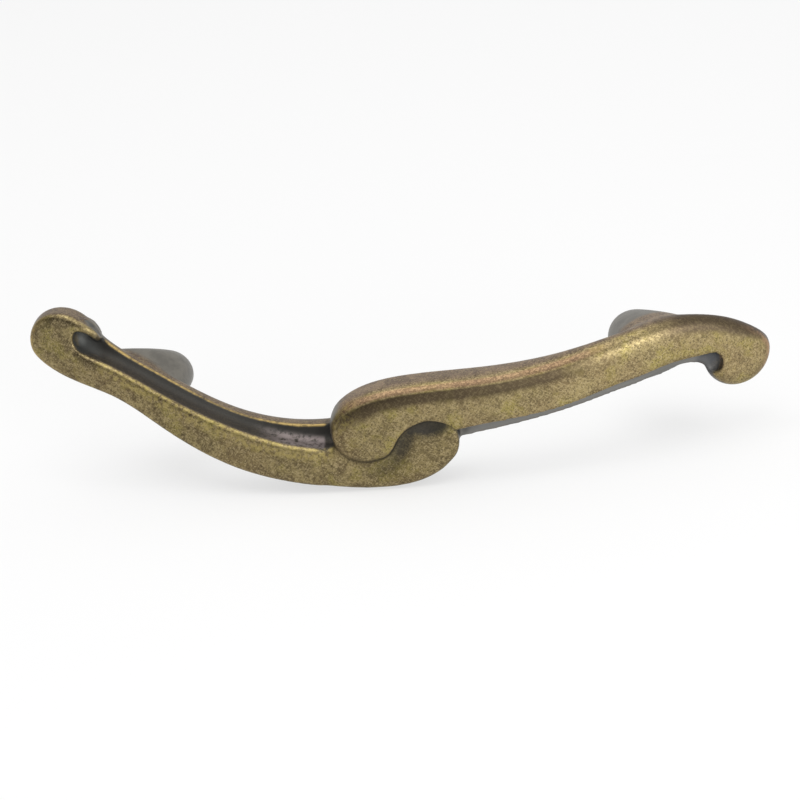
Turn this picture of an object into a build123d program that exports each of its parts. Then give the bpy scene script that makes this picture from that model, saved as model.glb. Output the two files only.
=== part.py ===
"""Arch pull: two hooked arms cast in one piece, on two legs that bolt to a drawer or door front.

X runs along the two screw holes, -Y points away from the front, +Z is up.
The origin lies midway between the screw holes, on the mounting face. All sizes are in millimetres.
"""

import os
from math import asin, cos, radians, sin

from build123d import *

os.makedirs("parts", exist_ok=True)

# Overall sizes
hole_spacing = 96.0
left_overhang = 25.5
right_overhang = 26.4
projection = 26.5

# Plan view bows, along which both arms fall back towards their ends
bow_end_height = 9.42352
left_setback = 1.2
left_middle_depth = 9.2
left_foot_depth = 7.8
left_end_depth = 4.8
right_middle_depth = 7.6
right_foot_depth = 4.6
right_end_depth = 4.8

# End curls, their pockets and the angles at which their round edges start
left_curl_radius = 7.3
left_curl_height = 12.5
left_curl_start = 25.0
left_hook_fall = 2.3
left_throat_inset = 3.3
left_throat_drop = 4.6
right_curl_radius = 6.8
right_curl_height = -1.6
right_curl_start = 195.0
right_shoulder_shift = 0.4
right_shoulder_rise = 7.4
right_corner_shift = 4.5
right_corner_rise = 4.1
left_pocket_radius = 3.0
left_pocket_inset = 12.6
left_pocket_height = 14.1
right_pocket_radius = 2.4
right_pocket_inset = 12.2
right_pocket_height = -1.8

# Stations of the arms, measured from the centre
neck_shift = 8.5
arm_x = 32.0
inner_x = 16.0

# Left arm: lower edge, upper edge of its band, and top of the rim behind it
left_neck_low = 2.0
left_foot_low = -4.0
left_arm_low = -13.4
left_inner_low = -17.3
left_head_low = -18.4
left_neck_band = 8.9
left_foot_band = 4.0
left_arm_band = -4.4
left_inner_band = -8.8
left_neck_rim = 12.0
left_foot_rim = 6.4
left_arm_rim = -2.5
left_inner_rim = -5.4

# Right arm: top edge, lower edge of its band, and bottom of the rim behind it
right_neck_top = 9.4
right_foot_top = 8.7
right_arm_top = 5.5
right_inner_top = 4.1
right_neck_band = 0.5
right_foot_band = -0.6
right_arm_band = -4.4
right_inner_band = -5.8
right_neck_rim = -1.3
right_foot_rim = -2.8
right_arm_rim = -6.8
right_inner_rim = -9.2

# Left inner head, whose cap is hidden behind the right arm
left_low_x = -3.6
left_head_reach = 11.5
left_head_side = -9.1
left_shoulder_x = 8.3
left_shoulder = -15.0
left_cap_x = 7.6
left_cap = -2.9
left_root_band = -8.9

# Right inner head and the notch that parts it from its arm
right_head_x = -7.2
right_head_height = -5.6
right_head_radius = 6.8
right_head_start = 130.0
right_head_span = 150.0
right_head_turn = -62.0
right_neck_x = 3.0
right_neck_height = 3.9
lip_x = 11.2
lip_height = -6.4
lip_rise = -0.2
notch_x = 5.6
notch_height = -3.9
throat_x = -0.7
throat_height = -7.5

# Soft valley round the right head and dip under its notch, both pressed into the left arm
valley_radius = 6.0
valley_drop = 0.9
valley_gap = 0.3
dip_radius = 10.0
dip_drop = 1.2

# Step from the band down to the rim
left_middle_step = 4.6
left_foot_step = 4.6
left_end_step = 3.4
right_middle_step = 4.6
right_foot_step = 2.6
right_end_step = 2.4
left_cove_radius = 2.0
right_cove_radius = 1.2

# Edge rounding
left_front_rounding = 0.8
left_back_rounding = 1.9
right_front_rounding = 2.6
right_back_rounding = 1.2

# Legs and their blind tapped holes
leg_radius = 5.3
waist_depth = 5.5
waist_length = 6.9
waist_height = 5.4
waist_lift = 0.55
waist_shift = 1.2
root_length = 9.6
root_shift = 4.3
root_bite = 1.6
left_root_height = 3.9
left_root_lift = 4.3
left_root_tilt = -32.0
right_root_height = 5.6
right_root_lift = 3.2
right_root_tilt = 10.0
foot_chamfer = 0.4
tapped_hole_radius = 1.65
tapped_hole_depth = 10.0

# Places that several outlines share
foot_x = hole_spacing / 2
neck_x = foot_x + neck_shift
left_reach = foot_x + left_overhang
right_reach = foot_x + right_overhang
left_curl_x = left_curl_radius - left_reach
right_curl_x = right_reach - right_curl_radius
far_x = max(left_reach, right_reach) + 1
room = 2 * projection
bow_fall = projection - bow_end_height
front_bow_radius = (far_x**2 + bow_fall**2) / (2 * bow_fall)


def bow_depth(crest, x):
    """Distance of the front bow from the mounting face at a place along X."""
    return crest - front_bow_radius + (front_bow_radius**2 - x**2) ** 0.5


def behind_front_bow(crest):
    """Solid behind the round bow that both arms share, at the given crest."""
    with BuildPart() as slab:
        with BuildSketch(Plane.XY.offset(-room)):
            with BuildLine():
                low = bow_depth(crest, far_x)
                bow = ThreePointArc((-far_x, -low), (0, -crest), (far_x, -low))
                Polyline(bow @ 1, (far_x, room), (-far_x, room), bow @ 0)
            make_face()
        extrude(amount=2 * room)
    return slab.part


def behind_spline_bow(crest, depths):
    """Solid that starts at given depths behind the front bow: middle, foot and end."""
    middle, foot, end = depths
    with BuildPart() as slab:
        with BuildSketch(Plane.XY.offset(-room)):
            with BuildLine():
                bow = Spline(
                    (-far_x, end - bow_depth(crest, far_x)),
                    (-foot_x, foot - bow_depth(crest, foot_x)),
                    (0, middle - crest),
                    (foot_x, foot - bow_depth(crest, foot_x)),
                    (far_x, end - bow_depth(crest, far_x)),
                )
                Polyline(bow @ 1, (far_x, room), (-far_x, room), bow @ 0)
            make_face()
        extrude(amount=2 * room)
    return slab.part


def bowed_faces(slab):
    """The front and the back face of a bowed slab, in that order."""
    across = slab.faces().filter_by(lambda face: abs(face.normal_at().Y) > 0.9).sort_by(Axis.Y)
    return across[0], across[-1]


def arm_bar(outline, crest, depths, front_rounding, back_rounding):
    """Arm of the given front outline between the two bows, rounded at front and back."""
    with BuildPart() as bar:
        with BuildSketch(Plane.XZ):
            add(outline)
        extrude(amount=room)
        add(behind_front_bow(crest), mode=Mode.INTERSECT)
        add(behind_spline_bow(crest, depths), mode=Mode.SUBTRACT)
        fillet(bowed_faces(bar)[0].edges(), front_rounding)
        fillet(bowed_faces(bar)[1].edges(), back_rounding)
    return bar.part


def channel_tool(outline, crest, steps, cove_radius):
    """Tool that lowers everything in front of the step, with a cove along its floor."""
    with BuildPart() as tool:
        with BuildSketch(Plane.XZ):
            add(outline)
        extrude(amount=room)
        add(behind_spline_bow(crest, steps), mode=Mode.SUBTRACT)
        fillet(bowed_faces(tool)[1].edges(), cove_radius)
    return tool.part


def on_circle(x, height, radius, angle):
    """Point on a circle in the front view, with the angle counted from +X towards +Z."""
    return (x + radius * cos(radians(angle)), height + radius * sin(radians(angle)))


# Left arm: curl, lower edge, inner head, then back along the rim
with BuildSketch() as left_outline:
    with BuildLine():
        curl = CenterArc(
            (left_curl_x, left_curl_height), left_curl_radius, left_curl_start, 180 - left_curl_start
        )
        low = Spline(
            curl @ 1,
            (left_throat_inset - left_reach, left_curl_height - left_throat_drop),
            (-neck_x, left_neck_low),
            (-foot_x, left_foot_low),
            (-arm_x, left_arm_low),
            (-inner_x, left_inner_low),
            (left_low_x, left_head_low),
            (left_shoulder_x, left_shoulder),
            (left_head_reach, left_head_side),
            (left_cap_x, left_cap),
            tangents=(curl % 1, (-1, 0)),
            tangent_scalars=(1, 1),
        )
        Spline(
            low @ 1,
            (-inner_x, left_inner_rim),
            (-arm_x, left_arm_rim),
            (-foot_x, left_foot_rim),
            (-neck_x, left_neck_rim),
            curl @ 0,
            tangents=((-1, 0), curl % 0),
            tangent_scalars=(1, 1),
        )
    make_face()

# Right arm: curl, rim, hidden underside of the inner head, the head, then the top edge
with BuildSketch() as right_outline:
    with BuildLine():
        curl = CenterArc(
            (right_curl_x, right_curl_height),
            right_curl_radius,
            right_curl_start,
            360 - right_curl_start,
        )
        head = CenterArc(
            (right_head_x, right_head_height), right_head_radius, right_head_start, right_head_span
        )
        Spline(
            curl @ 0,
            (neck_x, right_neck_rim),
            (foot_x, right_foot_rim),
            (arm_x, right_arm_rim),
            (inner_x, right_inner_rim),
            head @ 1,
            tangents=(-(curl % 0), -(head % 1)),
            tangent_scalars=(1, 1),
        )
        Spline(
            head @ 0,
            (right_neck_x, right_neck_height),
            (inner_x, right_inner_top),
            (arm_x, right_arm_top),
            (foot_x, right_foot_top),
            (neck_x, right_neck_top),
            (right_curl_x + right_shoulder_shift, right_curl_height + right_shoulder_rise),
            (right_curl_x + right_corner_shift, right_curl_height + right_corner_rise),
            curl @ 1,
            tangents=(-(head % 0), -(curl % 1)),
            tangent_scalars=(1, 1),
        )
    make_face()

# Left channel: pocket in the curl, upper edge of the band, then up behind the right head
with BuildSketch() as left_channel:
    with BuildLine():
        pocket = CenterArc(
            (left_pocket_inset - left_reach, left_pocket_height), left_pocket_radius, 90, 155
        )
        band = Spline(
            pocket @ 1,
            (-neck_x, left_neck_band),
            (-foot_x, left_foot_band),
            (-arm_x, left_arm_band),
            (-inner_x, left_inner_band),
            (right_head_x, left_root_band),
            tangents=(pocket % 1, (1, 0)),
            tangent_scalars=(1, 1),
        )
        Polyline(
            band @ 1,
            (right_head_x, room),
            (-neck_x, room),
            (-neck_x, left_pocket_height + left_pocket_radius - left_hook_fall),
            pocket @ 0,
        )
    make_face()

# Right channel: pocket in the curl, lower edge of the band, then the notch of the inner head
with BuildSketch() as right_channel:
    with BuildLine():
        pocket = CenterArc(
            (right_reach - right_pocket_inset, right_pocket_height), right_pocket_radius, -90, 180
        )
        band = Spline(
            pocket @ 1,
            (neck_x, right_neck_band),
            (foot_x, right_foot_band),
            (arm_x, right_arm_band),
            (inner_x, right_inner_band),
            (lip_x, lip_height),
            tangents=(pocket % 1, (-1, lip_rise)),
            tangent_scalars=(1, 1),
        )
        notch = ThreePointArc(band @ 1, (notch_x, notch_height), (throat_x, throat_height))
        throat = Spline(
            notch @ 1,
            on_circle(right_head_x, right_head_height, right_head_radius, right_head_turn),
            tangents=(notch % 1, on_circle(0, 0, 1, right_head_turn - 90)),
        )
        Polyline(
            throat @ 1,
            (right_head_x, -room),
            (neck_x, -room),
            (neck_x, right_pocket_height - right_pocket_radius),
            pocket @ 0,
        )
    make_face()


def leg(side, crest, foot_depth, height, lift, tilt):
    """Leg from its round foot to a longer root that reaches outwards along the back of the arm."""
    root_x = foot_x + root_shift
    root_depth = bow_depth(crest, root_x) - foot_depth + root_bite
    fall = asin(root_x / front_bow_radius)
    root_plane = Plane(
        origin=(side * root_x, -root_depth, lift),
        x_dir=(cos(fall), side * sin(fall), 0),
        z_dir=(side * sin(fall), -cos(fall), 0),
    )
    with BuildPart() as post:
        with BuildSketch(Plane.XZ):
            with Locations((side * foot_x, 0)):
                Ellipse(leg_radius, leg_radius)
        with BuildSketch(Plane.XZ.offset(waist_depth)):
            with Locations(Location((side * (foot_x + waist_shift), waist_lift * lift, 0), tilt)):
                Ellipse(waist_length, waist_height)
        with BuildSketch(root_plane):
            Ellipse(root_length, height, rotation=tilt)
        loft()
        chamfer(post.faces().sort_by(Axis.Y)[-1].edges(), foot_chamfer)
    return post.part


# Solids
left_crest = projection - left_setback
left_depths = (left_middle_depth, left_foot_depth, left_end_depth)
left_steps = (left_middle_step, left_foot_step, left_end_step)
right_depths = (right_middle_depth, right_foot_depth, right_end_depth)
right_steps = (right_middle_step, right_foot_step, right_end_step)
valley_place = valley_drop - valley_radius - bow_depth(left_crest, right_head_x)
dip_place = dip_drop - dip_radius - bow_depth(left_crest, notch_x)

# Pull casting: both arms, the valley round the front head, the legs and their tapped holes
with BuildPart() as pull_casting:
    add(arm_bar(left_outline.sketch, left_crest, left_depths, left_front_rounding, left_back_rounding))
    add(
        channel_tool(left_channel.sketch, left_crest, left_steps, left_cove_radius),
        mode=Mode.SUBTRACT,
    )
    with Locations(Location((right_head_x, valley_place, right_head_height), (90, 0, 0))):
        Torus(right_head_radius + valley_gap, valley_radius, mode=Mode.SUBTRACT)
    with Locations((notch_x, dip_place, notch_height)):
        Sphere(dip_radius, mode=Mode.SUBTRACT)
    with BuildPart(mode=Mode.PRIVATE) as front_arm:
        add(
            arm_bar(
                right_outline.sketch,
                projection,
                right_depths,
                right_front_rounding,
                right_back_rounding,
            )
        )
        add(
            channel_tool(right_channel.sketch, projection, right_steps, right_cove_radius),
            mode=Mode.SUBTRACT,
        )
    add(front_arm.part)
    add(leg(-1, left_crest, left_foot_depth, left_root_height, left_root_lift, left_root_tilt))
    add(leg(1, projection, right_foot_depth, right_root_height, right_root_lift, right_root_tilt))
    with Locations(
        Location((-foot_x, 0, 0), (90, 0, 0)),
        Location((foot_x, 0, 0), (90, 0, 0)),
    ):
        Cylinder(
            tapped_hole_radius,
            tapped_hole_depth,
            align=(Align.CENTER, Align.CENTER, Align.MIN),
            mode=Mode.SUBTRACT,
        )

pull_casting.part.label = "pull_casting"
export_step(pull_casting.part, "parts/pull_casting.step")
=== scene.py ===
"""Looks of the arch pull: a softened skin over the casting, its antique brass finish with painted shade
and highlights, and a pale studio.
"""

from math import cos, pi, radians, sin, sqrt
from types import SimpleNamespace

import bpy
import numpy as np
from mathutils import Matrix, Vector
from mathutils.bvhtree import BVHTree


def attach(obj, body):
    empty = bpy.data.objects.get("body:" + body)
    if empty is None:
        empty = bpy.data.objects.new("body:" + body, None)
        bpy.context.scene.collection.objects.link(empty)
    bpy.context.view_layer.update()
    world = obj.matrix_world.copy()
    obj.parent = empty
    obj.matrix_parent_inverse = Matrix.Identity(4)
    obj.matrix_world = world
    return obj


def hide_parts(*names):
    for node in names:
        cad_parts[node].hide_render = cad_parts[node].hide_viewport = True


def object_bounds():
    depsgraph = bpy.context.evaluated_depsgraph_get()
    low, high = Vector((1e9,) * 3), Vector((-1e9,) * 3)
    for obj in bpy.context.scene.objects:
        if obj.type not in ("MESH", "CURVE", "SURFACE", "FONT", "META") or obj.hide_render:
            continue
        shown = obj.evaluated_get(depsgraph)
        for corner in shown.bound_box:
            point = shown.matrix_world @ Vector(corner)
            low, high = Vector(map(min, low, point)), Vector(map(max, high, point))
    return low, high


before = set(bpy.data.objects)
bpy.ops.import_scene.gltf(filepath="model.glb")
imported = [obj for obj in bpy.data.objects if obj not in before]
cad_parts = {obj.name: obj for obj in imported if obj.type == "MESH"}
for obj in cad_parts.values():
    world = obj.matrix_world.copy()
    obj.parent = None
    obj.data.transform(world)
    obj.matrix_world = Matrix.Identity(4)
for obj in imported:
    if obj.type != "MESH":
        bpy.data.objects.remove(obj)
cad_low, cad_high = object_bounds()

# Front face of the casting, in metres
FRONT_BOW_RADIUS = 0.175
FRONT_CREST = 0.0265

# Skin over the casting: grid size in metres, and how its edges are softened
VOXEL = 0.000304
SOFTENING = 0.5
SOFTENING_ROUNDS = 8

# What the skin tells the finish: rounds of evening out, and the rays that feel for open space in metres
BULGE_ROUNDS = 12
EVENING_ROUNDS = 4
LEAN_ROUNDS = 180
RAY_REACH = 0.006
RAY_START_IN_VOXELS = 0.6
RAYS = 24
MILLIMETRES = 1000

# Height of the right arm's middle line at stations along X, in metres
RIGHT_ARM_X = (-0.015, -0.007, 0.004, 0.016, 0.032, 0.048, 0.057, 0.066, 0.075)
RIGHT_ARM_MIDDLE = (-0.0060, -0.0050, -0.0018, -0.0010, 0.0006, 0.0042, 0.0052, 0.0035, 0.0005)

# Rolled top edge of the right arm: where it starts and ends, in metres
CROWN_ROUNDS = 110
CROWN_HEIGHT = (-0.001, 0.0035)
CROWN_DEPTH = (0.004, 0.0065)
CROWN_START = (-0.0155, -0.012)

# Eased valley round the right head, in metres
VALLEY_ROUNDS = 60
VALLEY_FRONT = (0.0008, 0.0013)
VALLEY_BACK = (0.003, 0.0038)
VALLEY_START = (-0.019, -0.015)
VALLEY_END = (0.009, 0.011)
VALLEY_TOP = (-0.0040, -0.0030)

# Filled dent in the right arm's lower rim, in metres
DENT_X = 0.0485
DENT_SPREAD = 0.0045
DENT_HEIGHT = (-0.0055, -0.0030)
DENT_DEPTH = (0.0050, 0.0070)
DENT_FILL = (0, 0, 0.0005)

# Rubbed front edges of the left arm: places in metres, edges' stand in millimetres
RUBBED_ROUNDS = 40
RUBBED_SPREAD_ROUNDS = 10
RUBBED_PROUD = (0.05, 0.16)
RUBBED_END = (-0.016, -0.012)
RUBBED_DEPTH = (0.0025, 0.0035)

# Tip of the left hook where it closes over the rim, as a bead: a front line, a fill and a back line.
# The two lines are pixels on the photograph, each with its depth behind the left arm's bow and
# its radius in metres.
LEFT_CREST = 0.0253
HOOK_FRONT_PIXELS = (
    (76.25, 325.5, 0.0011, 0.0011),
    (83.75, 328.25, 0.0012, 0.0010),
    (90.0, 331.75, 0.0016, 0.0009),
    (94.5, 335.0, 0.0024, 0.0008),
    (97.75, 337.75, 0.0034, 0.0007),
)
HOOK_FILL = (
    (-0.0590, -0.0106, 0.0135, 0.0009),
    (-0.0597, -0.0106, 0.0146, 0.0012),
    (-0.0605, -0.0110, 0.0160, 0.0014),
    (-0.0615, -0.0113, 0.0170, 0.0014),
)
HOOK_BACK_PIXELS = (
    (86.0, 322.0, 0.0046, 0.0014),
    (90.0, 324.3, 0.0052, 0.0014),
    (93.5, 328.0, 0.0058, 0.0013),
    (97.0, 333.0, 0.0064, 0.0012),
)
HOOK_BACK_DROP = (0, 0, 0.00035)

# Thread in the tapped holes, in metres
HOLE_X = 0.048
THREAD_PITCH = 0.0007
THREAD_START = 0.0005
THREAD_LENGTH = 0.0084
THREAD_CREST = 0.0013
THREAD_ROOT = 0.0016
THREAD_STEPS = 6
THREAD_SPOKES = 32
SLEEVE_RADIUS = 0.0019

# Stations along the pull between which the finish and the painted shade and highlights change, in
# millimetres
LEFT_POCKET_END = (-61, -58)
LIT_WALL_START = (-30, -22)
SEAM_START = (-19, -16)
WALL_END = (-15.8, -15.0)
RIGHT_ARM_START = (-13, -10)
LEFT_ARM_END = (-12, -6)
SEAM_END = (10, 12)
STRIP_START = (11, 13)
LEFT_HEAD_END = (20, 23)
SHADE_BAND_END = (30, 46)
CROWN_END = (34, 46)
SHOULDER_START = (48, 58)
RIGHT_POCKET_START = (54, 58)
SQUARED_CURL_STATIONS = (3600, 4800)

# Depths behind the front bow between which the finish and the painted shade and highlights change, in
# millimetres
FRONT_LAYER = (2.6, 4.0)
TOP_LAYER = (7.5, 9.5)
RIGHT_ARM_LAYER = (3.5, 5.0)
BEHIND_RIGHT_HEAD = (0.9, 1.3)
NOTCH_BACK = (4.0, 5.0)
RIGHT_POCKET_FRONT = (0.9, 1.8)
RIGHT_POCKET_BACK = (5.0, 6.0)
WALL_FRONT = (1.7, 2.6)
WALL_BACK = (5.0, 6.0)
FLOOR_FRONT = (3.0, 4.4)
FLOOR_BACK = (7.0, 8.5)
STRIP_FRONT = (1.0, 1.9)
STRIP_BACK = (6.0, 8.0)
RIM_FRONT = (4.8, 5.4)
RIM_BACK = (6.6, 7.4)
CURL_EDGE_BACK = (5.0, 7.0)

# Heights over the right arm's middle line between which the finish and the painted shade change, in
# millimetres
LEFT_HEAD_TOP = (-5.0, -3.0)
ARM_UPPER_HALF = (-2.0, 1.0)

# How far a surface faces ahead, up or sideways where the finish and the painted shade and highlights
# change, 1 being fully
FRONT_FACING = (0.1, 0.6)
TOP_FACING = (0.62, 0.86)
CROWN_FACING_LOW = (0.42, 0.60)
CROWN_FACING_HIGH = (0.80, 0.92)
SHADE_BAND_LEAN = (0.03, 0.20)
SHADE_BAND_FACING_HIGH = (0.36, 0.50)
SHOULDER_LEAN = (0.08, 0.30)
LEFT_CURL_LEAN = (0.05, 0.25)
LEFT_CURL_FACING = (0.5, 0.9)
WALL_FACING = (0.2, 0.6)
FLOOR_FACING = (0.2, 0.5)
STRIP_LEAN = (0.02, 0.16)
EDGE_FACING = (-0.1, 0.3)
RIGHT_END_FACING = (0.55, 0.85)
LEFT_END_FACING = (0.40, 0.75)
END_FACING_AHEAD = (0.0, 0.3)
UPPER_BAND_LEAN = (0.02, 0.22)

# How open a hollow is, and how proud an edge stands in millimetres, where the finish and the painted shade
# change
POCKET_OPENNESS = (0.40, 0.85)
SEAM_OPENNESS = (0.78, 0.99)
EDGE_PROUD = (0.05, 0.20)
RIM_PROUD = (0.05, 0.12)

# Oval shades in the notch and in the right pocket: middle in millimetres, narrowing, and soft edge
NOTCH_SHADE = {"x": 5.6, "z": -4.6, "narrow": 0.20, "flat": 0.34, "fade": (0.0, 1.6)}
RIGHT_POCKET_SHADE = {"x": 62.2, "z": -2.2, "narrow": 0.30, "flat": 0.36, "fade": (0.5, 1.5)}

# Grains of the finish: size in metres, detail, roughness and, for the blotches, distortion
FINE_GRAIN = (0.00035, 2.0, 0.75)
STRAW_GRAIN = (0.00028, 2.0, 0.6)
SPECK_GRAIN = (0.0009, 2.0, 0.65)
BLOTCH_GRAIN = (0.0026, 3.0, 0.62, 0.6)
HUE_GRAIN = (0.0044, 2.0, 0.6)
DRIFT_GRAIN = (0.012, 2.0, 0.5)
WEAR_GRAIN = (0.0006, 2.0, 0.55)
STRAW_LENGTH = (4, 1, 1)
STRAW_TURN = 0.6
CROSS_STRAW_TURN = -0.9

# Grain values between which each kind of mark comes in
LIT_WALL_SPECKS = (0.28, 0.58)
EDGE_BLOTCHES = (0.36, 0.60)
END_SPECKS = (0.30, 0.60)
UPPER_BAND_SPECKS = (0.40, 0.60)
CROWN_STRAWS = (0.44, 0.56)
RIM_BLOTCHES = (0.25, 0.45)
OLIVE_BLOTCHES = (0.36, 0.64)
YELLOW_HUES = (0.48, 0.66)
BROWN_DRIFTS = (0.45, 0.68)
TOP_BLOTCHES = (0.35, 0.65)
BACK_BLOTCHES = (0.30, 0.70)
GOLD_STRAWS = (0.46, 0.60)
DARK_FLECKS = (0.48, 0.66)
CUT_WEAR = (0.35, 0.65)

# Tones of the finish and of its painted shade and highlights
OLIVE_DARK = (0.170, 0.130, 0.066, 1)
OLIVE_LIGHT = (0.37, 0.295, 0.140, 1)
TOP_DARK = (0.15, 0.11, 0.085, 1)
TOP_LIGHT = (0.26, 0.19, 0.135, 1)
BACK_DARK = (0.155, 0.147, 0.13, 1)
BACK_LIGHT = (0.205, 0.193, 0.168, 1)
DARKENING_BROWN = (0.03, 0.022, 0.012, 1)
# Brown of the painted shade on the right arm's band and on the left curl's top
PAINTED_SHADE_BROWN = (0.072, 0.053, 0.034, 1)
LEFT_POCKET_GREY = (0.14, 0.145, 0.14, 1)
CHANNEL_BLACK = (0.052, 0.050, 0.046, 1)
RIGHT_POCKET_GREY = (0.095, 0.098, 0.105, 1)
RIGHT_GOLD = (0.42, 0.262, 0.15, 1)
LEFT_GOLD = (0.46, 0.335, 0.135, 1)
CUT_DARK = (0.26, 0.25, 0.23, 1)
CUT_LIGHT = (0.40, 0.39, 0.37, 1)

# Coats of the finish and of painted shade and light: a tone and the share with which it covers
YELLOW_COAT = ((0.335, 0.28, 0.088, 1), 0.7)
DRIFT_COAT = ((0.20, 0.135, 0.075, 1), 0.4)
LEFT_TOP_COAT = ((0.085, 0.060, 0.045, 1), 0.4)
SHOULDER_SHADE_COAT = ((0.075, 0.055, 0.038, 1), 0.92)
COPPER_COAT = ((0.165, 0.098, 0.066, 1), 0.75)
STRIP_COAT = ((0.20, 0.197, 0.185, 1), 1.0)
STRAW_COAT = ((0.46, 0.37, 0.20, 1), 0.6)
FLECK_COAT = ((0.065, 0.050, 0.030, 1), 0.7)
LIT_WALL_COAT = ((0.30, 0.255, 0.245, 1), 0.9)
UPPER_BAND_HIGHLIGHT_COAT = ((0.46, 0.37, 0.13, 1), 0.5)

# How strongly painted shades and highlights, darkening, wear and brushing show, 1 being fully
BAND_SHADE = 0.92
LEFT_CURL_SHADE = 0.68
LEFT_ARM_DARKENING = 0.16
LEFT_HEAD_SHADE = 0.26
WALL_DARK = 0.9
SEAM_SHADOW = 0.85
RIGHT_POCKET_DARK = 0.8
DARK_COVER = 0.9
EDGE_WEAR = 0.3
LEFT_EDGE_WEAR = 0.25
CROWN_WEAR_AND_HIGHLIGHT = 0.36
END_HIGHLIGHT = 0.8
PATCH_CONTRAST = 0.6
LEFT_PATCH_CONTRAST = 0.4
TOP_BRUSHING = 0.7
CROWN_CALM = 0.6
BAND_CALM = 0.8
HALF = 0.5

# Gloss and relief of the finish
ROUGHNESS = 0.40
DARK_ROUGHNESS = 0.2
FINE_ROUGHNESS = 0.14
WORN_GLOSS = 0.08
GRIT_STRENGTH = 0.35
GRIT_HEIGHT = 0.00007
CUT_ROUGHNESS = 0.30
CUT_WEAR_ROUGHNESS = 0.2

# Studio: places, aims and sizes in metres, lamps in watts, greys from 0 to 1
PULL = (0, 0, 0)
FLOOR_SIZE = 4.0
FLOOR_GAP = 0.0002
FLOOR_GREY = 0.36
FLOOR_GLOW = 0.6
STUDIO_LIGHT = 0.8
FRONT_CARD = {"place": (-0.55, -1.2, 0.36), "size": (1.8, 0.75), "grey": 0.06}
LEFT_CARD = {"place": (-1.3, 0.0, 0.4), "size": (1.6, 0.8), "grey": 0.25}
OVERHEAD_LAMP = {"place": (-0.13, -0.16, 0.7), "aim": PULL, "size": (0.64, 0.45), "watts": 2.0}
RIGHT_LAMP = {"place": (0.38, -0.52, 0.10), "aim": (0.04, 0, 0), "size": (0.3, 0.2), "watts": 1.9}

# Camera: angles in degrees, distance in metres, lens and image in pixels, sensor in millimetres
ELEVATION = 24.0
AZIMUTH = 4.5
ROLL = 6.7
DISTANCE = 0.52
FOCAL_PIXELS = 2540.0
IMAGE_SIZE = 800
SENSOR_WIDTH = 36.0
CENTRE_ON_IMAGE = (400.4, 353.4)


class Value:
    """Output socket of a shader node, with arithmetic that adds Math nodes."""

    def __init__(self, maker, socket):
        self.maker = maker
        self.socket = socket

    def maths(self, operation, *terms):
        """Result of a Math node on the terms."""
        return self.maker.node("ShaderNodeMath", {"operation": operation}, dict(enumerate(terms)))

    def __add__(self, other):
        return self.maths("ADD", self, other)

    __radd__ = __add__

    def __mul__(self, other):
        return self.maths("MULTIPLY", self, other)

    __rmul__ = __mul__

    def __sub__(self, other):
        return self.maths("SUBTRACT", self, other)

    def __rsub__(self, other):
        return self.maths("SUBTRACT", other, self)

    def __pow__(self, other):
        return self.maths("POWER", self, other)

    def clamped(self):
        """The value held between 0 and 1."""
        return self.maker.node("ShaderNodeClamp", {}, {"Value": self}, "Result")

    def rise(self, low, high):
        """0 below the low value, 1 above the high one, and smooth between."""
        settings = {"interpolation_type": "SMOOTHSTEP"}
        inputs = {"Value": self, "From Min": low, "From Max": high}
        return self.maker.node("ShaderNodeMapRange", settings, inputs, "Result")

    def fall(self, low, high):
        """1 below the low value, 0 above the high one, and smooth between."""
        return 1 - self.rise(low, high)


class Maker:
    """Adds nodes to one node tree."""

    def __init__(self, tree):
        self.tree = tree
        self.tree.nodes.clear()

    def node(self, kind, settings=None, inputs=None, output=0):
        """Adds a node, makes its settings first, then fills its sockets with numbers or links."""
        made = self.tree.nodes.new(kind)
        for name, setting in (settings or {}).items():
            setattr(made, name, setting)
        for name, given in (inputs or {}).items():
            if isinstance(given, Value):
                self.tree.links.new(given.socket, made.inputs[name])
            else:
                made.inputs[name].default_value = given
        return Value(self, made.outputs[output]) if made.outputs else None

    def attribute(self, name):
        """Number stored for each corner of the skin."""
        return self.node("ShaderNodeAttribute", {"attribute_name": name}, {}, "Fac")

    def part(self, vector, axis):
        """One part of a vector."""
        return self.node("ShaderNodeSeparateXYZ", {}, {0: vector}, axis)

    def blend(self, share, first, second):
        """Colour between the first and the second, by the share of the second."""
        return self.node("ShaderNodeMix", {"data_type": "RGBA"}, {0: share, 6: first, 7: second}, 2)

    def coated(self, colour, where, coat):
        """The colour with a coat over it: a coat is a tone and the share with which it covers."""
        tone, share = coat
        return self.blend(where * share, colour, tone)

    def noise(self, place, size, detail, roughness, distortion=0.0):
        """Noise whose features are about the given size, in metres."""
        inputs = {
            "Vector": place,
            "Scale": 1 / size,
            "Detail": detail,
            "Roughness": roughness,
            "Distortion": distortion,
        }
        return self.node("ShaderNodeTexNoise", {}, inputs, "Fac")

    def straw(self, place, turn):
        """Short fine strokes across the front, turned by an angle in radians."""
        inputs = {"Vector": place, "Rotation": (0, turn, 0), "Scale": STRAW_LENGTH}
        stretched = self.node("ShaderNodeMapping", {"vector_type": "TEXTURE"}, inputs)
        return self.noise(stretched, *STRAW_GRAIN)

    def shown_white(self):
        """1 for the rays by which the camera, metal and glass see the background."""
        kinds = ("Is Camera Ray", "Is Glossy Ray", "Is Transmission Ray")
        rays = [self.node("ShaderNodeLightPath", {}, {}, kind) for kind in kinds]
        return (rays[0] + rays[1] + rays[2]).clamped()


def evaluated_mesh(obj):
    """The object's mesh with its modifiers applied."""
    depsgraph = bpy.context.evaluated_depsgraph_get()
    return bpy.data.meshes.new_from_object(obj.evaluated_get(depsgraph))


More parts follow.
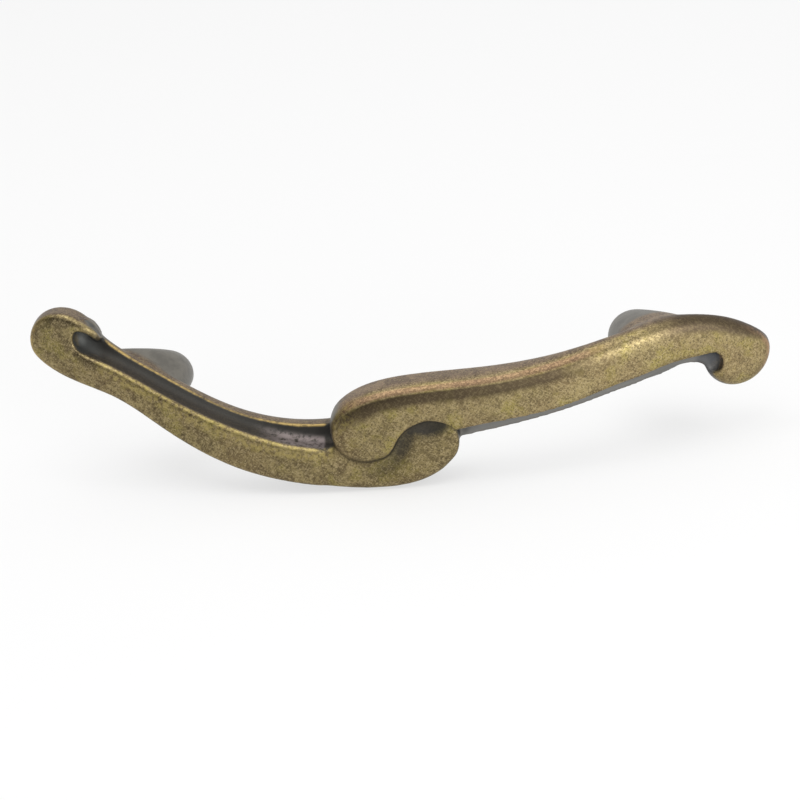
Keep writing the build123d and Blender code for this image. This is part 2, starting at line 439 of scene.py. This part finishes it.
def arrays(mesh):
    """Vertex places, vertex normals and edges of a mesh as arrays."""
    places = np.empty(len(mesh.vertices) * 3)
    normals = np.empty(len(mesh.vertices) * 3)
    edges = np.empty(len(mesh.edges) * 2, int)
    mesh.vertices.foreach_get("co", places)
    mesh.vertices.foreach_get("normal", normals)
    mesh.edges.foreach_get("vertices", edges)
    return places.reshape(-1, 3), normals.reshape(-1, 3), edges.reshape(-1, 2)


def neighbour_mean(values, edges):
    """Mean of each vertex's neighbours."""
    end_highlights = np.concatenate((edges[:, 0], edges[:, 1]))
    others = np.concatenate((edges[:, 1], edges[:, 0]))
    count = np.bincount(end_highlights, minlength=len(values))
    columns = values.reshape(len(values), -1).T
    sums = [np.bincount(end_highlights, column[others], len(values)) / count for column in columns]
    return np.array(sums).T.reshape(values.shape)


def settled(values, edges, rounds, share=1.0):
    """Values evened out over the surface, each by its own share."""
    for _ in range(rounds):
        values = values + (neighbour_mean(values, edges) - values) * share / 2
    return values


def smooth_rise(values, low, high):
    """0 below the low value, 1 above the high one, and smooth between."""
    part = np.clip((values - low) / (high - low), 0, 1)
    return part * part * (3 - 2 * part)


def smooth_fall(values, low, high):
    """1 below the low value, 0 above the high one, and smooth between."""
    return 1 - smooth_rise(values, low, high)


def bulge(places, normals, edges):
    """How much each vertex stands proud of the surface round it, in millimetres."""
    proud = ((places - settled(places, edges, BULGE_ROUNDS)) * normals).sum(1)
    return settled(proud, edges, EVENING_ROUNDS) * MILLIMETRES


def spread_directions(count):
    """Directions spread evenly over the half sphere about Z."""
    golden = pi * (3 - 5**0.5)
    spread = []
    for index in range(count):
        lift = (1 - (index + 0.5) / count) ** 0.5
        flat = (1 - lift**2) ** 0.5
        spread.append((flat * cos(golden * index), flat * sin(golden * index), lift))
    return spread


def openness(mesh, places, normals):
    """Share of the directions over each vertex that stay clear within the reach."""
    faces = [tuple(face.vertices) for face in mesh.polygons]
    tree = BVHTree.FromPolygons([Vector(place) for place in places], faces)
    spread = spread_directions(RAYS)
    clear = np.zeros(len(places))
    for index, (place, normal) in enumerate(zip(places, normals)):
        up = Vector(normal)
        turn = up.to_track_quat("Z", "Y")
        start = Vector(place) + up * VOXEL * RAY_START_IN_VOXELS
        hits = sum(tree.ray_cast(start, turn @ Vector(way), RAY_REACH)[0] is not None for way in spread)
        clear[index] = 1 - hits / RAYS
    return clear


def store(mesh, name, values):
    """Keeps one number for each vertex under a name that the finish reads."""
    mesh.attributes.new(name, "FLOAT", "POINT").data.foreach_set("value", values.astype(np.float32))


def behind_bow(places):
    """How far each place lies behind the crest line's bow, in metres."""
    bow = FRONT_CREST - FRONT_BOW_RADIUS + np.sqrt(FRONT_BOW_RADIUS**2 - places[:, 0] ** 2)
    return bow + places[:, 1]


def above_middle(places):
    """How far each place lies above the right arm's middle line, in metres."""
    return places[:, 2] - np.interp(places[:, 0], RIGHT_ARM_X, RIGHT_ARM_MIDDLE)


def crowned(places, edges):
    """Places with the right arm's top edge rolled over into its face, as on the worn casting."""
    upper = smooth_rise(above_middle(places), *CROWN_HEIGHT)
    near = smooth_fall(behind_bow(places), *CROWN_DEPTH)
    start = smooth_rise(places[:, 0], *CROWN_START)
    return settled(places, edges, CROWN_ROUNDS, (upper * near * start)[:, None])


def valley_eased(places, edges):
    """Places with the dip round the right head eased into the left head's face."""
    behind = behind_bow(places)
    layer = smooth_rise(behind, *VALLEY_FRONT) * smooth_fall(behind, *VALLEY_BACK)
    along = smooth_rise(places[:, 0], *VALLEY_START) * smooth_fall(places[:, 0], *VALLEY_END)
    low = smooth_fall(places[:, 2], *VALLEY_TOP)
    return settled(places, edges, VALLEY_ROUNDS, (layer * along * low)[:, None])


def edge_eased(places, normals, edges):
    """Places with the left arm's front edges rubbed rounder."""
    proud = smooth_rise(bulge(places, normals, edges), *RUBBED_PROUD)
    proud = np.clip(settled(proud, edges, RUBBED_SPREAD_ROUNDS) * 2, 0, 1)
    left = smooth_fall(places[:, 0], *RUBBED_END)
    front = smooth_fall(behind_bow(places), *RUBBED_DEPTH)
    return settled(places, edges, RUBBED_ROUNDS, (proud * left * front)[:, None])


def rim_filled(places):
    """Places with the dent in the right arm's lower rim filled."""
    near = np.exp(-(((places[:, 0] - DENT_X) / DENT_SPREAD) ** 2))
    low = smooth_fall(above_middle(places), *DENT_HEIGHT)
    arm = smooth_fall(behind_bow(places), *DENT_DEPTH)
    return places - np.outer(near * low * arm, DENT_FILL)


def camera_axes():
    """Camera's right, upward and backward directions, and its place."""
    tilt = radians(ELEVATION)
    swing = radians(AZIMUTH)
    roll = radians(ROLL)
    back = Vector((sin(swing) * cos(tilt), -cos(swing) * cos(tilt), sin(tilt)))
    level = Vector((cos(swing), sin(swing), 0))
    upright = back.cross(level)
    right = level * cos(roll) - upright * sin(roll)
    above = level * sin(roll) + upright * cos(roll)
    across = (CENTRE_ON_IMAGE[0] - IMAGE_SIZE / 2) / FOCAL_PIXELS
    lift = (IMAGE_SIZE / 2 - CENTRE_ON_IMAGE[1]) / FOCAL_PIXELS
    return right, above, back, (back - right * across - above * lift) * DISTANCE


def seen_place(pixel_x, pixel_y, depth):
    """Place seen at a pixel, at a depth behind the left arm's bow."""
    right, above, back, eye = camera_axes()
    across = (pixel_x - IMAGE_SIZE / 2) / FOCAL_PIXELS
    lift = (IMAGE_SIZE / 2 - pixel_y) / FOCAL_PIXELS
    sight = right * across + above * lift - back
    axis_y = FRONT_BOW_RADIUS - LEFT_CREST + depth
    square = sight.x**2 + sight.y**2
    slope = eye.x * sight.x + (eye.y - axis_y) * sight.y
    rest = eye.x**2 + (eye.y - axis_y) ** 2 - FRONT_BOW_RADIUS**2
    return eye + sight * ((-slope - sqrt(slope**2 - square * rest)) / square)


def hook_line():
    """Places along the hook's bead, each with its radius."""
    line = [(seen_place(x, y, depth), radius) for x, y, depth, radius in HOOK_FRONT_PIXELS]
    line += [(Vector((x, y, z)), radius) for x, y, z, radius in HOOK_FILL]
    drop = Vector(HOOK_BACK_DROP)
    return line + [(seen_place(x, y, depth) - drop, radius) for x, y, depth, radius in HOOK_BACK_PIXELS]


def hook_tip():
    """Round bead along the last stretch of the left hook."""
    curve = bpy.data.curves.new("hook_tip", "CURVE")
    curve.dimensions = "3D"
    curve.bevel_depth = 1.0
    curve.use_fill_caps = True
    stations = hook_line()
    line = curve.splines.new("POLY")
    line.points.add(len(stations) - 1)
    for point, (place, radius) in zip(line.points, stations):
        point.co = (*place, 1)
        point.radius = radius
    bead = bpy.data.objects.new("hook_tip", curve)
    bpy.context.scene.collection.objects.link(bead)
    mesh = evaluated_mesh(bead)
    bpy.data.objects.remove(bead)
    return mesh


def joined(first, second):
    """One mesh with the corners and faces of both."""
    places = [v.co for v in first.vertices] + [v.co for v in second.vertices]
    start = len(first.vertices)
    faces = [tuple(f.vertices) for f in first.polygons]
    faces += [tuple(v + start for v in f.vertices) for f in second.polygons]
    mesh = bpy.data.meshes.new("brass_skin")
    mesh.from_pydata(places, [], faces)
    return mesh


def even_skin():
    """The casting and its hook tip as one skin of even facets with softened edges."""
    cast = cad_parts["pull_casting"].data
    skin = bpy.data.objects.new("brass_skin", joined(cast, hook_tip()))
    bpy.context.scene.collection.objects.link(skin)
    remesh = skin.modifiers.new("even_grid", "REMESH")
    remesh.mode = "VOXEL"
    remesh.voxel_size = VOXEL
    soften = skin.modifiers.new("soft_edges", "SMOOTH")
    soften.factor = SOFTENING
    soften.iterations = SOFTENING_ROUNDS
    skin.data = evaluated_mesh(skin)
    skin.modifiers.clear()
    skin.data.polygons.foreach_set("use_smooth", [True] * len(skin.data.polygons))
    return skin


def store_finish_values(mesh):
    """Stores what the finish needs to know about each vertex, with lengths in millimetres."""
    places, normals, edges = arrays(mesh)
    store(mesh, "edge_bulge", bulge(places, normals, edges))
    store(mesh, "clear", settled(openness(mesh, places, normals), edges, EVENING_ROUNDS))
    store(mesh, "depth", behind_bow(places) * MILLIMETRES)
    store(mesh, "lean", settled(normals[:, 2], edges, LEAN_ROUNDS))
    store(mesh, "above_middle", above_middle(places) * MILLIMETRES)


def brass_skin():
    """Skin of the casting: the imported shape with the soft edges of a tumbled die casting."""
    skin = even_skin()
    places, normals, edges = arrays(skin.data)
    places = valley_eased(crowned(places, edges), edges)
    places = rim_filled(edge_eased(places, normals, edges))
    places = np.clip(places, cad_low, cad_high)
    skin.data.vertices.foreach_set("co", places.ravel())
    skin.data.update()
    store_finish_values(skin.data)
    skin.data.materials.clear()
    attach(skin, "root")
    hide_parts("pull_casting")
    return skin


def painted(name, surface):
    """Material whose surface is made by a function that is given the material's Maker."""
    material = bpy.data.materials.new(name)
    material.use_nodes = True
    make = Maker(material.node_tree)
    make.node("ShaderNodeOutputMaterial", {}, {"Surface": surface(make)})
    return material


def brass_measures(make):
    """Where each point of the skin lies and how it faces, with the grains of the finish there."""
    place = make.node("ShaderNodeTexCoord", {}, {}, "Object")
    normal = make.node("ShaderNodeNewGeometry", {}, {}, "Normal")
    straws = make.straw(place, STRAW_TURN) * HALF + make.straw(place, CROSS_STRAW_TURN) * HALF
    return SimpleNamespace(
        along=make.part(place, "X") * MILLIMETRES,
        height=make.part(place, "Z") * MILLIMETRES,
        side=make.part(normal, "X"),
        ahead=make.part(normal, "Y") * -1,
        upward=make.part(normal, "Z"),
        proud=make.attribute("edge_bulge"),
        clear=make.attribute("clear"),
        depth=make.attribute("depth"),
        above=make.attribute("above_middle"),
        lean=make.attribute("lean"),
        fine=make.noise(place, *FINE_GRAIN),
        straw=straws,
        speck=make.noise(place, *SPECK_GRAIN),
        blotch=make.noise(place, *BLOTCH_GRAIN),
        hue=make.noise(place, *HUE_GRAIN),
        drift=make.noise(place, *DRIFT_GRAIN),
    )


def brass_zones(at):
    """Parts of the skin with their own shade: each is 1 there and 0 elsewhere."""
    left = at.along.fall(*LEFT_ARM_END)
    inner = at.along.rise(*LEFT_POCKET_END)
    front = at.ahead.rise(*FRONT_FACING) * at.depth.fall(*FRONT_LAYER)
    arm = at.along.rise(*RIGHT_ARM_START) * at.depth.fall(*RIGHT_ARM_LAYER)
    arm = arm * at.above.rise(*ARM_UPPER_HALF)
    rolled = at.upward.rise(*CROWN_FACING_LOW) * at.upward.fall(*CROWN_FACING_HIGH)
    # Painted shade: a dark band on the right arm's face just under its rolled top edge
    band = at.lean.rise(*SHADE_BAND_LEAN) * at.upward.fall(*SHADE_BAND_FACING_HIGH)
    # Painted shade: the left head where it lies behind and under the right head
    shaded_left_head = front * (1 - left) * at.depth.rise(*BEHIND_RIGHT_HEAD) * at.above.fall(*LEFT_HEAD_TOP)
    strip = at.along.rise(*STRIP_START) * at.depth.rise(*STRIP_FRONT)
    return SimpleNamespace(
        left=left,
        inner=inner,
        front=front,
        top=at.upward.rise(*TOP_FACING) * at.depth.fall(*TOP_LAYER),
        crown=arm * rolled * at.along.fall(*CROWN_END),
        band=arm * band * at.along.fall(*SHADE_BAND_END),
        # Painted shade: the upper part of the right arm's face near its end curl, darkened
        shoulder_shade=arm * at.along.rise(*SHOULDER_START) * at.lean.rise(*SHOULDER_LEAN),
        # Painted shade: the upward-leaning top of the left curl's front, darkened
        shaded_left_curl=(1 - inner) * at.lean.rise(*LEFT_CURL_LEAN) * at.ahead.rise(*LEFT_CURL_FACING),
        shaded_left_head=shaded_left_head * at.along.fall(*LEFT_HEAD_END),
        strip=strip * (at.lean * -1).rise(*STRIP_LEAN) * at.depth.fall(*STRIP_BACK),
    )


def channel_wall(at, zone):
    """Lower wall of the left arm's channel."""
    wall = zone.left * zone.inner * at.depth.rise(*WALL_FRONT) * at.depth.fall(*WALL_BACK)
    return wall * at.upward.rise(*WALL_FACING) * at.along.fall(*WALL_END)


def oval(at, x, z, narrow, flat, fade):
    """1 in the middle of an oval on the front, falling off around it."""
    across = (at.along - x) * narrow
    upright = (at.height - z) * flat
    return (across**2 + upright**2).fall(*fade)


def patina_and_painted_shade(at, zone):
    """Dark patina that the rubbing didn't reach in the channel and hollows, with painted shade in shut-in
    places, a painted shadow in the notch, in the seam under the right head and in the right pocket.
    """
    floor = zone.left * at.depth.rise(*FLOOR_FRONT) * at.ahead.rise(*FLOOR_FACING)
    floor = floor * at.depth.fall(*FLOOR_BACK)
    # Shut-in places: dark patina together with painted shade
    shut_in_patina_and_shade = at.clear.fall(*POCKET_OPENNESS)
    # Painted shadows in the seam under the right head, in the notch and in the right pocket
    seam_shadow = at.clear.fall(*SEAM_OPENNESS) * at.along.rise(*SEAM_START) * at.along.fall(*SEAM_END)
    notch_shadow = oval(at, **NOTCH_SHADE) * at.depth.rise(*BEHIND_RIGHT_HEAD) * at.depth.fall(*NOTCH_BACK)
    right_pocket_shadow = oval(at, **RIGHT_POCKET_SHADE) * at.depth.rise(*RIGHT_POCKET_FRONT)
    right_pocket_shadow = right_pocket_shadow * at.depth.fall(*RIGHT_POCKET_BACK)
    hollows = channel_wall(at, zone) * WALL_DARK + floor + shut_in_patina_and_shade + notch_shadow
    return (hollows + seam_shadow * SEAM_SHADOW + right_pocket_shadow * RIGHT_POCKET_DARK).clamped()


def rubbed_and_highlit(at, zone):
    """Gold on raised edges and the rim, rubbed down; on the crown, rubbed and a painted highlight; on the
    side-facing curl ends, a painted highlight.
    """
    edge = at.proud.rise(*EDGE_PROUD) * at.blotch.rise(*EDGE_BLOTCHES) * at.ahead.rise(*EDGE_FACING)
    # Painted highlight on the side-facing ends of the curls
    end_highlights = at.side.rise(*RIGHT_END_FACING) + (at.side * -1).rise(*LEFT_END_FACING)
    end_highlights = end_highlights * (at.along * at.along).rise(*SQUARED_CURL_STATIONS) * at.ahead.rise(*END_FACING_AHEAD)
    end_highlights = end_highlights * at.depth.fall(*CURL_EDGE_BACK) * at.speck.rise(*END_SPECKS)
    rim = zone.left * at.depth.rise(*RIM_FRONT) * at.depth.fall(*RIM_BACK) * at.proud.rise(*RIM_PROUD)
    gold_wear_and_highlight = edge * (EDGE_WEAR + zone.left * LEFT_EDGE_WEAR) + end_highlights * END_HIGHLIGHT
    # Rubbed gold and painted highlight along the right arm's rolled top edge
    gold_wear_and_highlight = gold_wear_and_highlight + zone.crown * at.straw.rise(*CROWN_STRAWS) * CROWN_WEAR_AND_HIGHLIGHT
    return (gold_wear_and_highlight + rim * at.blotch.rise(*RIM_BLOTCHES)).clamped()


def olive_front(make, at, zone):
    """Patchy olive of the front faces, darker over the left arm, with painted shade on the left head where
    it lies behind the right head.
    """
    contrast = PATCH_CONTRAST + zone.left * LEFT_PATCH_CONTRAST
    patches = HALF + (at.blotch.rise(*OLIVE_BLOTCHES) - HALF) * contrast
    olive = make.blend(patches, OLIVE_DARK, OLIVE_LIGHT)
    olive = make.coated(olive, at.hue.rise(*YELLOW_HUES), YELLOW_COAT)
    olive = make.coated(olive, at.drift.rise(*BROWN_DRIFTS), DRIFT_COAT)
    # Darker over the left arm, and painted shade on the left head behind the right head
    return make.blend(zone.left * LEFT_ARM_DARKENING + zone.shaded_left_head * LEFT_HEAD_SHADE, olive, DARKENING_BROWN)


def shaded_front(make, at, zone):
    """Colour of the faces before brushing: olive front, brown top, grey back and strip, copper crown, with
    painted shade on the right arm's band and shoulder and on the left curl's top.
    """
    brown = make.blend(at.blotch.rise(*TOP_BLOTCHES), TOP_DARK, TOP_LIGHT)
    brown = make.coated(brown, zone.left, LEFT_TOP_COAT)
    grey = make.blend(at.blotch.rise(*BACK_BLOTCHES), BACK_DARK, BACK_LIGHT)
    colour = make.blend(zone.top, grey, brown)
    colour = make.blend(zone.front, colour, olive_front(make, at, zone))
    # Painted shade on the right arm's band and on the left curl's top
    shade = (zone.band * BAND_SHADE + zone.shaded_left_curl * LEFT_CURL_SHADE).clamped()
    colour = make.blend(shade, colour, PAINTED_SHADE_BROWN)
    # Painted shade over the upper face of the right arm near its end curl
    colour = make.coated(colour, zone.shoulder_shade, SHOULDER_SHADE_COAT)
    colour = make.coated(colour, zone.crown, COPPER_COAT)
    return make.coated(colour, zone.strip, STRIP_COAT)


def brushed(make, at, zone, colour):
    """The colour with gold straws and dark flecks brushed over its front and top."""
    calm = (zone.band + zone.shoulder_shade + zone.crown * CROWN_CALM).clamped() * BAND_CALM
    where = (zone.front + zone.top * TOP_BRUSHING).clamped() * (1 - zone.strip) * (1 - calm)
    colour = make.coated(colour, at.straw.rise(*GOLD_STRAWS) * where, STRAW_COAT)
    return make.coated(colour, at.fine.rise(*DARK_FLECKS) * where, FLECK_COAT)


def brass_surface(make):
    """Brass rubbed bright on raised edges, olive on the front and dark with patina in the channel, with
    painted shade and highlights laid into its colour.
    """
    at = brass_measures(make)
    zone = brass_zones(at)
    # Channel patina together with painted shade in the hollows, the notch, the seam and the right pocket
    dark = patina_and_painted_shade(at, zone)
    gold_wear_and_highlight = rubbed_and_highlit(at, zone)

    colour = brushed(make, at, zone, shaded_front(make, at, zone))
    deep = make.blend(zone.inner, LEFT_POCKET_GREY, CHANNEL_BLACK)
    deep = make.blend(at.along.rise(*RIGHT_POCKET_START), deep, RIGHT_POCKET_GREY)
    colour = make.blend(dark * DARK_COVER, colour, deep)
    # Painted light on the channel's lower wall, which faces up into the light
    lit_wall = channel_wall(at, zone) * at.along.rise(*LIT_WALL_START) * at.speck.rise(*LIT_WALL_SPECKS)
    colour = make.coated(colour, lit_wall, LIT_WALL_COAT)
    # Painted highlight: gold on the upper, upward-leaning part of the left band's face
    upper_band_highlight = zone.left * zone.inner * zone.front * at.lean.rise(*UPPER_BAND_LEAN)
    colour = make.coated(colour, upper_band_highlight * at.speck.rise(*UPPER_BAND_SPECKS), UPPER_BAND_HIGHLIGHT_COAT)
    # Gold of rubbed edges and of painted highlights
    colour = make.blend(gold_wear_and_highlight, colour, make.blend(zone.left, RIGHT_GOLD, LEFT_GOLD))

    relief = {
        "Strength": GRIT_STRENGTH,
        "Distance": GRIT_HEIGHT,
        "Height": at.fine * HALF + at.straw * HALF,
    }
    inputs = {
        "Base Color": colour,
        "Metallic": 1.0,
        "Roughness": ROUGHNESS + dark * DARK_ROUGHNESS + at.fine * FINE_ROUGHNESS - gold_wear_and_highlight * WORN_GLOSS,
        "Normal": make.node("ShaderNodeBump", {}, relief, "Normal"),
    }
    return make.node("ShaderNodeBsdfPrincipled", {}, inputs)


def cut_metal_surface(make):
    """Bare cut metal of the tapped holes."""
    place = make.node("ShaderNodeTexCoord", {}, {}, "Object")
    wear = make.noise(place, *WEAR_GRAIN)
    inputs = {
        "Base Color": make.blend(wear.rise(*CUT_WEAR), CUT_DARK, CUT_LIGHT),
        "Metallic": 1.0,
        "Roughness": CUT_ROUGHNESS + wear * CUT_WEAR_ROUGHNESS,
    }
    return make.node("ShaderNodeBsdfPrincipled", {}, inputs)


def ring(x, row, radii):
    """Points round a hole at one row of its thread, each with its own radius."""
    y = -THREAD_START - row / THREAD_STEPS * THREAD_PITCH
    angles = [2 * pi * spoke / THREAD_SPOKES for spoke in range(THREAD_SPOKES)]
    return [(x + radius * cos(angle), y, radius * sin(angle)) for angle, radius in zip(angles, radii)]


def thread_radii(row):
    """Radii of the ridged bore round one row of the thread."""
    phases = [(row / THREAD_STEPS - spoke / THREAD_SPOKES) % 1 for spoke in range(THREAD_SPOKES)]
    rise = THREAD_ROOT - THREAD_CREST
    return [THREAD_ROOT - rise * (1 - abs(2 * phase - 1)) for phase in phases]


def tapped_hole_thread(name, x):
    """Screw thread that lines one tapped hole, as a closed sleeve with a ridged bore."""
    rows = round(THREAD_LENGTH / THREAD_PITCH * THREAD_STEPS)
    places = []
    for row in range(rows + 1):
        places += ring(x, row, thread_radii(row))
    for row in (rows, 0):
        places += ring(x, row, [SLEEVE_RADIUS] * THREAD_SPOKES)
    faces = []
    bands = rows + 3
    for band in range(bands):
        near = band * THREAD_SPOKES
        far = (band + 1) % bands * THREAD_SPOKES
        for spoke in range(THREAD_SPOKES):
            after = (spoke + 1) % THREAD_SPOKES
            faces.append((near + spoke, near + after, far + after, far + spoke))
    mesh = bpy.data.meshes.new(name)
    mesh.from_pydata(places, [], faces)
    thread = bpy.data.objects.new(name, mesh)
    bpy.context.scene.collection.objects.link(thread)
    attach(thread, "root")
    return thread


def matt(make, grey):
    """Plain matt surface of one grey."""
    return make.node("ShaderNodeBsdfDiffuse", {}, {"Color": (grey, grey, grey, 1)})


def floor_surface(make):
    """Pale floor that shows white where it is lit and keeps the shadow."""
    inputs = {"Color": (1, 1, 1, 1), "Strength": make.shown_white() * FLOOR_GLOW}
    glow = make.node("ShaderNodeEmission", {}, inputs)
    return make.node("ShaderNodeAddShader", {}, {0: matt(make, FLOOR_GREY), 1: glow})


def studio_floor():
    """Floor just under the lowest point of the pull."""
    bpy.ops.mesh.primitive_plane_add(size=FLOOR_SIZE, location=(0, 0, cad_low.z - FLOOR_GAP))
    floor = bpy.context.object
    floor.name = "studio_floor"
    floor.data.materials.append(painted("pale_floor", floor_surface))


def studio_world():
    """White studio all round, a little dimmer as a light than it shows."""
    world = bpy.data.worlds.new("studio")
    bpy.context.scene.world = world
    world.use_nodes = True
    make = Maker(world.node_tree)
    strength = STUDIO_LIGHT + make.shown_white() * (1 - STUDIO_LIGHT)
    sky = make.node("ShaderNodeBackground", {}, {"Color": (1, 1, 1, 1), "Strength": strength})
    make.node("ShaderNodeOutputWorld", {}, {"Surface": sky})


def dark_card(name, place, size, grey):
    """Matt card out of the picture, which gives the metal something dark to mirror."""
    bpy.ops.mesh.primitive_plane_add(size=1.0, location=place)
    card = bpy.context.object
    card.name = name
    card.scale = (*size, 1)
    card.rotation_euler = (Vector(PULL) - Vector(place)).to_track_quat("Z", "Y").to_euler()
    card.data.materials.append(painted(name, lambda make: matt(make, grey)))
    card.visible_camera = False
    card.visible_shadow = False


def soft_lamp(name, place, aim, size, watts):
    """Large soft lamp that shines on a point."""
    lamp = bpy.data.lights.new(name, "AREA")
    lamp.shape = "RECTANGLE"
    lamp.size, lamp.size_y = size
    lamp.energy = watts
    holder = bpy.data.objects.new(name, lamp)
    bpy.context.scene.collection.objects.link(holder)
    holder.location = place
    holder.rotation_euler = (Vector(aim) - Vector(place)).to_track_quat("-Z", "Y").to_euler()


def studio_camera():
    """Camera in front of the pull and above it, turned a little about its own line of sight."""
    right, above, back, place = camera_axes()
    lens = bpy.data.cameras.new("studio_camera")
    lens.sensor_width = SENSOR_WIDTH
    lens.lens = FOCAL_PIXELS / IMAGE_SIZE * SENSOR_WIDTH
    camera = bpy.data.objects.new("studio_camera", lens)
    bpy.context.scene.collection.objects.link(camera)
    turn = Matrix((right, above, back)).transposed().to_4x4()
    camera.matrix_world = Matrix.Translation(place) @ turn
    bpy.context.scene.camera = camera


skin = brass_skin()
skin.data.materials.append(painted("antique_brass_and_painted_light", brass_surface))

bare_metal = painted("cut_thread", cut_metal_surface)
for name, x in (("left_thread", -HOLE_X), ("right_thread", HOLE_X)):
    tapped_hole_thread(name, x).data.materials.append(bare_metal)

studio_floor()
studio_world()
dark_card("front_card", **FRONT_CARD)
dark_card("left_card", **LEFT_CARD)
soft_lamp("overhead_lamp", **OVERHEAD_LAMP)
soft_lamp("right_lamp", **RIGHT_LAMP)
studio_camera()

bpy.context.scene.view_settings.view_transform = "Standard"
